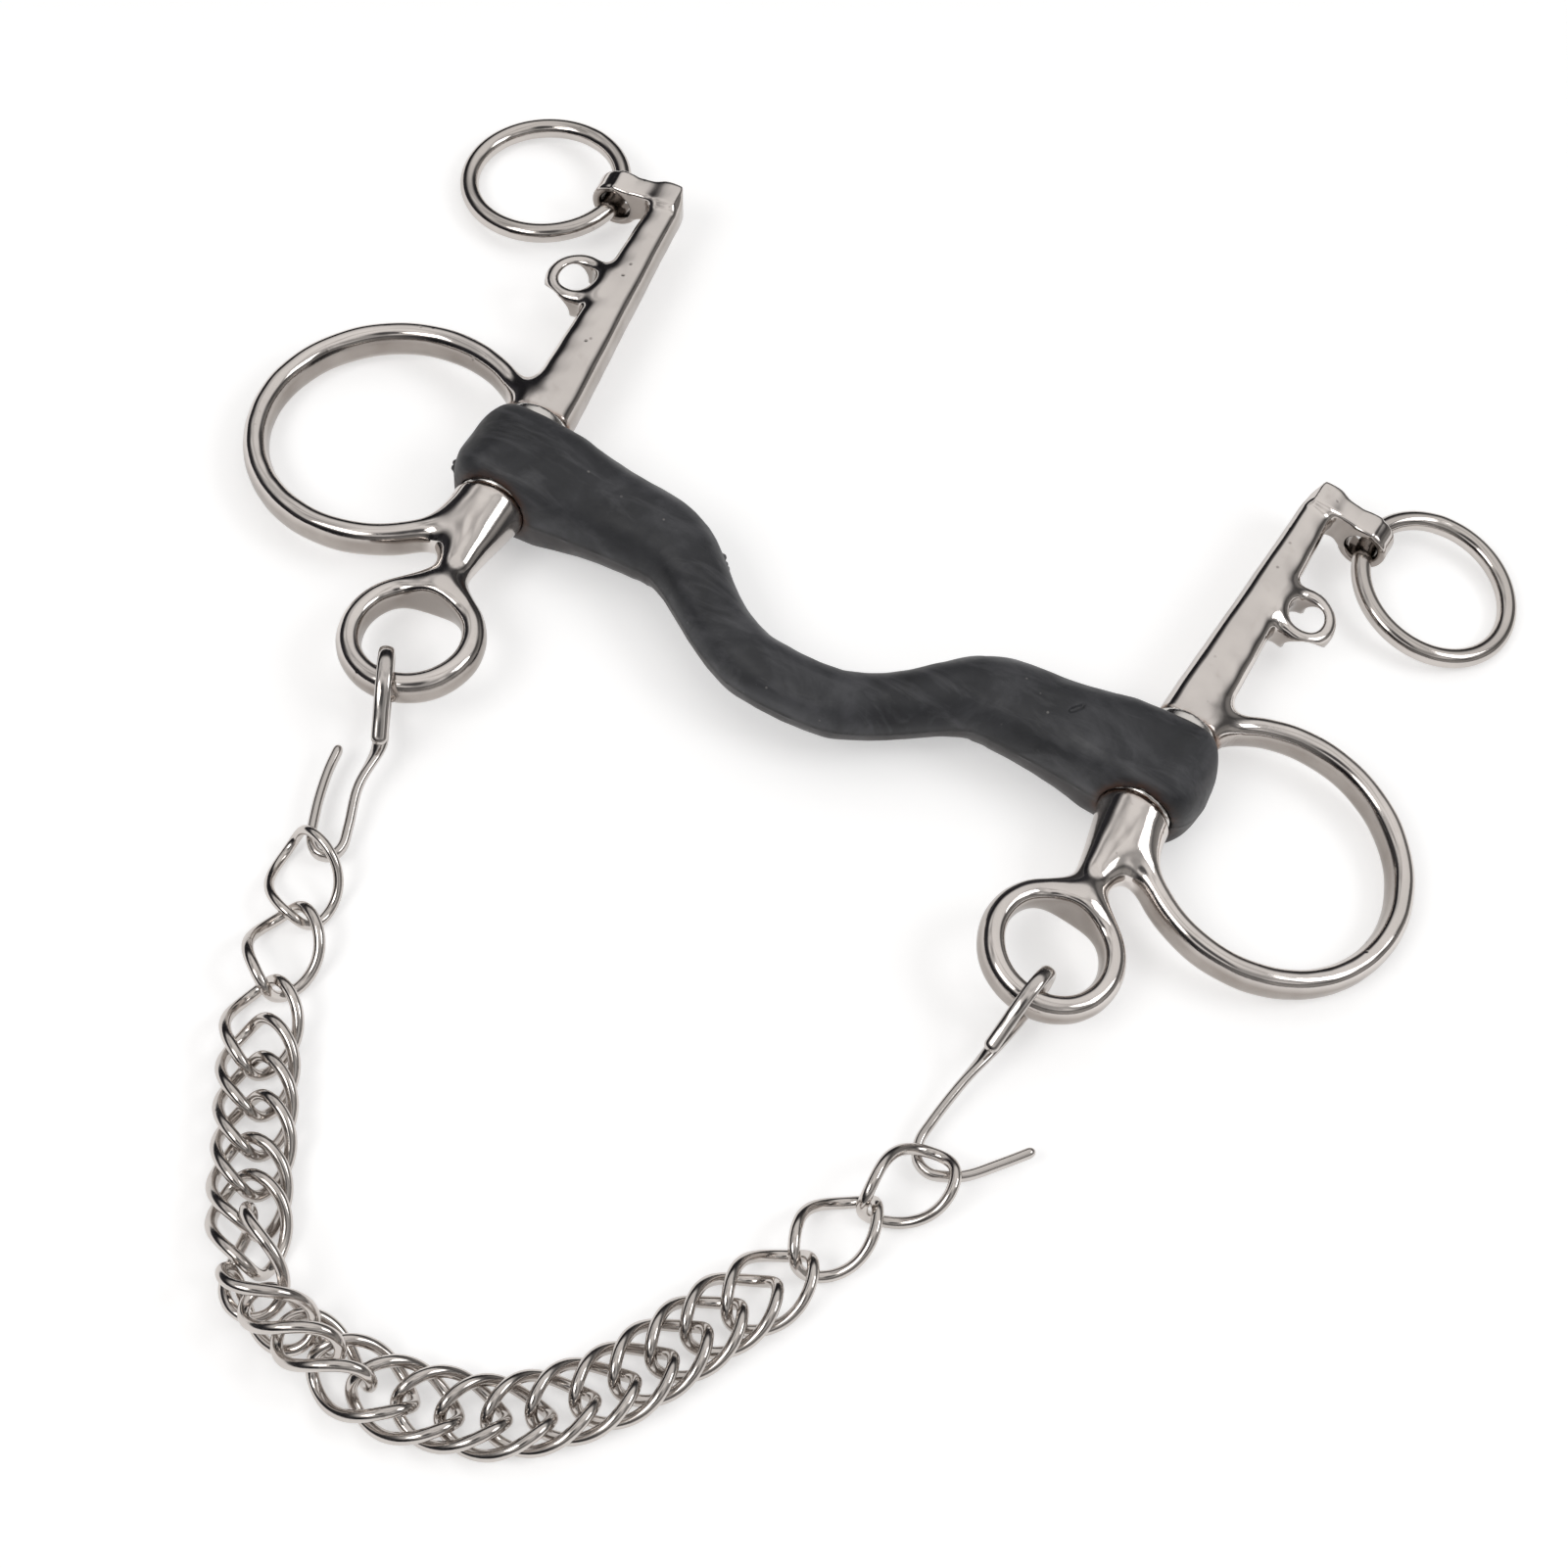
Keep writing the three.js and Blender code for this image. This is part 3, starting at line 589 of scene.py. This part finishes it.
mat_cheek = steel("polished_cheek_steel", rough=0.09, pits=0.75, seam=True)
mat_ring = steel("polished_ring_steel", tint=(0.60, 0.56, 0.53), rough=0.10, pits=0.3)
mat_hook = steel("polished_hook_wire", tint=(0.58, 0.545, 0.52), rough=0.12, pits=0.3, worn=0.3)
mat_chain = steel("polished_chain_wire", tint=(0.61, 0.57, 0.54), rough=0.11, pits=0.3, worn=0.5)
mat_core = steel("turned_bar_steel", tint=(0.70, 0.675, 0.65), rough=0.18, pits=0.2, worn=0.4)
mat_rubber = rubber("moulded_black_rubber")

H = 0.42


def tight_grime_and_shade(v):
    """1 in the tight places: inside the lug, the strap eyelet and the webs of the ring, where grime and painted shade
    go.
    """
    x, y, z = v[:, 0], v[:, 1], v[:, 2]
    lug = np.exp(-((np.hypot(x - LUG_C[0], z - LUG_C[1]) - LUG_HOLE_R) / 0.5) ** 2) * (y > LUG_Y0 - 1)
    eyelet = np.exp(-((np.hypot(x - STRAP_C[0], y - STRAP_C[1]) - (STRAP_R - STRAP_W / 2)) / 0.5) ** 2)
    rr, er = np.hypot(x - RING_C[0], y - RING_C[1]), np.hypot(x - EYE_C[0], y - EYE_C[1])
    tight = (rr < RING_R - 1.5) * (rr > RING_R - 5) * (x > 9) + (er < EYE_R - 1.5)
    return np.clip(lug + 0.8 * eyelet + 0.25 * tight, 0, 1)


def steep_wall_shade(v):
    """1 on the steep sides of the casting, which are rougher than its faces and get a darker colour there as painted
    shade.
    """
    g = [cheek_field(*(v + 0.05 * e).T) - cheek_field(*(v - 0.05 * e).T) for e in np.eye(3)]
    up = np.abs(g[2]) / np.maximum(np.sqrt(g[0] ** 2 + g[1] ** 2 + g[2] ** 2), 1e-9)
    wall = np.clip((0.62 - up) / 0.42, 0, 1)
    # the round neck is polished all the way round and gets no painted shade
    neck = np.clip(1 - (np.hypot(v[:, 0], v[:, 2]) - 6.6) / 1.5, 0, 1) * (v[:, 1] < 0) * (v[:, 1] > -30)
    return wall * (1 - neck)


# ------------------------------------------------------------------ cheeks
cv, cq = surface(cheek_field, (-16, -61, -8.2), (54.5, 83, 8.2), H)
seam = (np.exp(-((cv[:, 1] + 10.4) / 0.8) ** 2) + 0.6 * np.exp(-((cv[:, 1] - 12.5) / 0.6) ** 2)) * (np.abs(cv[:, 0]) < 9)
grime_and_shade, wall_shade = tight_grime_and_shade(cv), steep_wall_shade(cv)
for side, word in ((-1, "left"), (1, "right")):
    ey = np.array([side * math.sin(SPLAY), math.cos(SPLAY), 0])
    out = np.array([side * math.cos(SPLAY), -math.sin(SPLAY), 0])
    ex = out * math.cos(TILT) - np.array([0, 0, math.sin(TILT)])
    ez = out * math.sin(TILT) + np.array([0, 0, math.cos(TILT)])
    o0 = np.array([side * AXIS_X, 0, AXIS_Z])
    w = o0 + cv[:, :1] * ex + cv[:, 1:2] * ey + cv[:, 2:] * ez
    q = cq if side > 0 else cq[:, ::-1]
    add(word + "_cheek_casting", w, q, word + "_cheek", word + "_cheek", mat_cheek, {"seam": seam, "grime_and_shade": grime_and_shade, "wall_shade": wall_shade})
    # loose curb-rein ring
    yc = 78.35
    hpt = o0 + ex * (LUG_C[0] + REIN_OFF[0]) + ey * yc + ez * (LUG_C[1] + REIN_OFF[1])
    sn = (hpt[2] - REIN_W / 2 - 0.05) / (2 * REIN_R)
    rx = out * math.sqrt(1 - sn * sn) - np.array([0, 0, sn])
    th = 2 * math.pi * np.arange(160) / 160
    c = hpt + rx * REIN_R
    rad_dir = np.cos(th)[:, None] * rx + np.sin(th)[:, None] * ey
    pts = c + rad_dir * REIN_R
    weld = 1 + 0.03 * np.exp(-(((th - 1.9) * REIN_R) / 1.3) ** 2) - 0.012 * np.exp(-(((th - 1.9) * REIN_R) / 0.25) ** 2)
    v, q = loop_tube(pts, rad_dir, REIN_W / 2, REIN_W / 2, 32, 2.0, weld)
    if np.dot(np.cross(rx, ey), [0, 0, 1]) < 0:
        pass
    add(word + "_loose_rein_ring", v, q, word + "_rein_ring", word + "_curb_rein_ring", mat_ring)

# ------------------------------------------------------------------ mouthpiece
rv, rq = surface(cover_field, (-80, -25.5, -11.6), (80, 12, 11.6), H * 1.1)
line = np.exp(-(rv[:, 2] / 0.45) ** 2)
uu, vv = along_shaft(rv[:, 0], rv[:, 1])
rim = np.abs(np.hypot(uu, rv[:, 2]) - (BUSH_R + 0.6))
seam = np.exp(-(rim / 0.9) ** 2)
add("rubber_mouthpiece", rv + [0, 0, AXIS_Z], rq, "mouthpiece", "mouthpiece_rubber_cover", mat_rubber, {"line": line, "seam": seam, "under": 1 / (1 + np.exp(rv[:, 2] / 0.4))})
kv, kq = surface(core_field, (-77, -22, -8), (77, 14, 8), H * 1.1)
add("bar_core_with_eyes", kv + [0, 0, AXIS_Z], kq, "mouthpiece", "mouthpiece_steel_core", mat_core)

# ------------------------------------------------------------------ hooks
HOOKS = {
    "left": {"origin": (-64.3, -55.9), "dir": (0.427, -0.904),
             "arm": [(-58.9, -74.4, 5.0), (-56.6, -81.6, 3.6), (-55.6, -85.6, 2.9), (-56.3, -87.9, 2.7), (-58.6, -88.7, 2.7),
                     (-60.8, -87.2, 2.9), (-63.2, -81.9, 3.4), (-65.4, -74.1, 4), (-66.3, -68.1, 4.5)]},
    "right": {"origin": (65.3, -55.9), "dir": (-0.2, -0.98),
              "arm": [(61.2, -74.4, 5.0), (59.6, -82.6, 3.6), (59.2, -86.6, 2.9), (60.4, -89.8, 2.7), (63.0, -91.0, 2.7),
                      (65.8, -90.3, 2.9), (69.0, -88.5, 3.2), (73.4, -84.0, 4), (77.8, -78.9, 4.5)]},
}
LOOP = [(12.0, 8.6), (8.6, 11.2), (5.2, 13.9), (2.0, 15.6), (-1.6, 15.9), (-4.8, 14.3), (-6.3, 11.6), (-6.4, 9.0),
        (-5.2, 6.4), (-2.4, 4.8), (1.6, 4.5), (6, 5.0), (10.8, 5.9)]
for word, hk in HOOKS.items():
    d = np.array([*hk["dir"], 0.0])
    d /= np.linalg.norm(d)
    nrm = np.array([-d[1], d[0], 0])
    pts = [(hk["origin"][0] + d[0] * u, hk["origin"][1] + d[1] * u, z) for u, z in LOOP] + hk["arm"]
    n, K = len(pts), 10
    ts = np.arange((n - 1) * K + 1) / ((n - 1) * K)
    line_ = catmull(pts, ts)
    tan = np.gradient(line_, axis=0)
    tan /= np.linalg.norm(tan, axis=1)[:, None]
    k = np.clip((ts * (n - 1) - (len(LOOP) - 1) + 0.8) / 2.2, 0, 1)
    k = k * k * (3 - 2 * k)
    want = nrm * (1 - k)[:, None] + np.array([0, 0, 1.0]) * k[:, None]
    nn = want - (want * tan).sum(1)[:, None] * tan
    nn /= np.linalg.norm(nn, axis=1)[:, None]
    bb = np.cross(tan, nn)
    # length along the wire, to round both ends
    s = np.concatenate([[0], np.cumsum(np.linalg.norm(np.diff(line_, axis=0), axis=1))])
    L = s[-1]
    keep = (s > 1.35) & (s < L - 1.35)
    extra0, extra1 = [], []
    cap = [1 - math.cos(x) for x in np.linspace(0.06, math.pi / 2, 8)]
    def at(sv):
        return [np.array([np.interp(sv, s, arr[:, i]) for i in range(3)]) for arr in (line_, nn, bb)]
    rows = []
    for c_ in cap:
        p_, n_, b_ = at(1.35 * c_)
        rows.append((p_, n_, b_, math.sqrt(1 - (1 - c_) ** 2)))
    for i in np.nonzero(keep)[0]:
        rows.append((line_[i], nn[i], bb[i], 1.0))
    for c_ in cap[::-1]:
        p_, n_, b_ = at(L - 1.35 * c_)
        rows.append((p_, n_, b_, math.sqrt(1 - (1 - c_) ** 2)))
    P_, N_, B_ = (np.array([r[i] for r in rows]) for i in range(3))
    sc = np.array([r[3] for r in rows])
    # flattened where it goes round the eye, rounder along the arm
    kk = np.array([np.interp(x, s, k) for x in [0.0] * len(cap) + list(s[keep]) + [L] * len(cap)])
    wide, thick = (1.5 if word == "left" else 1.4) - 0.2 * kk, 0.93 + 0.02 * kk
    v, f = bar_tube(P_, N_, B_, wide * sc, thick * sc, 24, 2.3)
    add(word + "_flattened_wire_hook", v, f, word + "_hook", word + "_curb_hook", mat_hook)

# ------------------------------------------------------------------ chain
LINKS = [
    (-57.946, -94.740, 3.734, 0.11817, 0.00304, -0.47311, 0.87304),
    (-53.575, -108.813, 3.762, -0.04191, 0.00630, -0.60563, 0.79461),
    (-49.034, -123.285, 3.771, -0.01521, 0.00159, -0.56968, 0.82172),
    (-45.568, -130.137, 3.772, -0.00003, 0.00000, -0.51007, 0.86013),
    (-42.136, -136.474, 3.772, 0.00524, -0.00018, -0.51063, 0.85978),
    (-38.653, -142.738, 3.772, -0.00025, 0.00001, -0.51689, 0.85605),
    (-35.204, -149.547, 3.749, -0.06654, -0.00376, -0.42998, 0.90038),
    (-31.850, -155.192, 3.744, -0.07385, -0.00397, -0.43228, 0.89870),
    (-27.498, -161.250, 5.932, 0.44950, -0.10248, -0.45725, 0.76050),
    (-21.718, -166.811, 6.798, 0.62128, 0.09936, -0.14636, 0.76336),
    (-16.090, -167.205, 6.354, 0.87046, -0.06338, 0.01957, 0.48774),
    (-9.313, -168.707, 5.647, 0.92992, -0.08252, 0.03876, 0.35629),
    (-2.278, -169.413, 3.771, 0.99972, 0.02142, 0.00501, 0.00867),
    (5.184, -169.028, 3.762, 0.99489, 0.09101, -0.02448, -0.03630),
    (12.352, -166.831, 3.772, 0.98751, 0.15758, -0.00003, -0.00004),
    (19.078, -164.449, 3.772, 0.96985, 0.24369, 0.00000, 0.00001),
    (24.829, -160.137, 3.772, 0.93514, 0.35429, -0.00002, -0.00001),
    (29.762, -154.997, 3.772, 0.90897, 0.41685, -0.00000, -0.00000),
    (34.154, -149.307, 3.772, 0.87831, 0.47809, -0.00000, -0.00000),
    (37.534, -142.974, 3.772, 0.85552, 0.51776, -0.00000, -0.00000),
    (40.817, -136.580, 3.772, 0.85342, 0.52122, 0.00000, 0.00000),
    (44.098, -130.185, 3.772, 0.86005, 0.51022, -0.00000, -0.00000),
    (47.830, -123.575, 3.770, 0.83396, 0.55157, -0.01465, -0.00771),
    (53.533, -109.445, 3.767, 0.82368, 0.56618, 0.02807, 0.01414),
    (60.871, -96.471, 5.577, 0.85742, 0.45696, -0.07101, -0.22576),
]
ang = 2 * math.pi * np.arange(96) / 96


def link_line(t):
    x, r = LINK_A * np.cos(t), LINK_B * np.sin(t)
    ph = LINK_TWIST * x / LINK_A
    return np.stack([x, r * np.cos(ph), r * np.sin(ph)], -1)


base = link_line(ang)
for k, row in enumerate(LINKS):
    name = "chain_link_%02d" % (k + 1)
    qx, qy, qz, qw = row[3:]
    Rm = np.array(Matrix.Rotation(0, 3, "X"))
    from mathutils import Quaternion
    Rm = np.array(Quaternion((qw, qx, qy, qz)).normalized().to_matrix())
    flip = -1.0 if k % 2 else 1.0
    pts = base * [flip, flip, 1.0] if flip < 0 else base
    nr = pts / np.linalg.norm(pts, axis=1)[:, None]
    wr = 0.93 if k == 0 else 1.06
    v, q = loop_tube(pts, nr, wr, wr, 16)
    v = v @ Rm.T + np.array(row[:3])
    add("wire_link_%02d" % (k + 1), v, q, "link_%02d" % (k + 1), name, mat_chain)

# ------------------------------------------------------------------ floor, light
bpy.ops.mesh.primitive_grid_add(x_subdivisions=8, y_subdivisions=8, size=3.2, location=(0, 0, -0.00003))
floor = bpy.context.object
floor.name = "floor"
fm, nt, b, vec = nodes_of("pale_floor")
nt.links.new(mix(nt, noise(nt, vec, 6, 2, 0.5), (0.80, 0.80, 0.80), (0.79, 0.79, 0.795)), b.inputs["Base Color"])
b.inputs["Roughness"].default_value = 0.75
b.inputs["Specular IOR Level"].default_value = 0.15
b.inputs["Emission Color"].default_value = (1, 1, 1, 1)
b.inputs["Emission Strength"].default_value = 0.42
floor.data.materials.append(fm)

world = bpy.data.worlds.new("studio")
scene.world = world
world.use_nodes = True
nt = world.node_tree
for n in list(nt.nodes):
    nt.nodes.remove(n)
out = nt.nodes.new("ShaderNodeOutputWorld")
tc = nt.nodes.new("ShaderNodeTexCoord")
sep = nt.nodes.new("ShaderNodeSeparateXYZ")
nt.links.new(tc.outputs["Generated"], sep.inputs[0])
# a bright tent overhead, a dark room round the horizon and a dark gap where the viewer stands
sky = ramp(nt, sep.outputs[2], [(0.0, (0.045, 0.045, 0.05)), (0.40, (0.05, 0.05, 0.055)), (0.50, (0.24, 0.235, 0.235)), (0.60, (0.86, 0.85, 0.84)), (1.0, (0.95, 0.935, 0.92))])
gap = nt.nodes.new("ShaderNodeVectorMath")
gap.operation = "DOT_PRODUCT"
gap.inputs[1].default_value = (0.125, -0.532, 0.838)
nt.links.new(tc.outputs["Generated"], gap.inputs[0])
# the room is darker on the left than on the right
horizon = mix(nt, rng(nt, sep.outputs[0], -0.15, 0.75, 0.0, 1.0), (0.035, 0.035, 0.04), (0.36, 0.35, 0.34))
sky = mix(nt, rng(nt, sep.outputs[2], 0.36, 0.46, 1.0, 0.0), sky, horizon)
# uneven panels overhead
panel = rng(nt, noise(nt, tc.outputs["Generated"], 2.3, 1, 0.4), 0.40, 0.60, 0.45, 1.0)
back = nt.nodes.new("ShaderNodeVectorMath")
back.operation = "DOT_PRODUCT"
back.inputs[1].default_value = (-0.125, 0.532, 0.838)
nt.links.new(tc.outputs["Generated"], back.inputs[0])
panel = math_(nt, "MAXIMUM", panel, rng(nt, back.outputs["Value"], 0.80, 0.93, 0.0, 1.0))
sky = mix(nt, 1.0, sky, panel, "MULTIPLY")
sky = mix(nt, rng(nt, gap.outputs["Value"], 0.955, 0.985, 0.0, 0.93), sky, (0.05, 0.05, 0.055))
bg = nt.nodes.new("ShaderNodeBackground")
nt.links.new(sky, bg.inputs[0])
bg.inputs[1].default_value = 1.0
bg2 = nt.nodes.new("ShaderNodeBackground")
bg2.inputs[0].default_value = (0.93, 0.93, 0.93, 1)
lp = nt.nodes.new("ShaderNodeLightPath")
mx = nt.nodes.new("ShaderNodeMixShader")
nt.links.new(lp.outputs["Is Camera Ray"], mx.inputs[0])
nt.links.new(bg.outputs[0], mx.inputs[1])
nt.links.new(bg2.outputs[0], mx.inputs[2])
nt.links.new(mx.outputs[0], out.inputs[0])


def area(name, loc, target, size, power, color=(1, 1, 1)):
    ld = bpy.data.lights.new(name, "AREA")
    ld.shape = "RECTANGLE"
    ld.size, ld.size_y = size
    ld.energy = power
    ld.color = color
    o = bpy.data.objects.new(name, ld)
    scene.collection.objects.link(o)
    o.location = loc
    o.rotation_euler = (Vector(target) - Vector(loc)).to_track_quat("-Z", "Y").to_euler()
    return o


area("key_softbox", (-0.5, -0.9, 1.15), (0, 0, 0), (0.7, 0.5), 5.0, (1.0, 0.985, 0.965))
area("fill_softbox", (0.9, 0.35, 1.0), (0, 0, 0), (0.6, 0.45), 3.0, (0.98, 0.99, 1.0))

scene.view_settings.view_transform = "Standard"
scene.view_settings.look = "None"
scene.view_settings.exposure = 0.0
scene.view_settings.gamma = 1.0
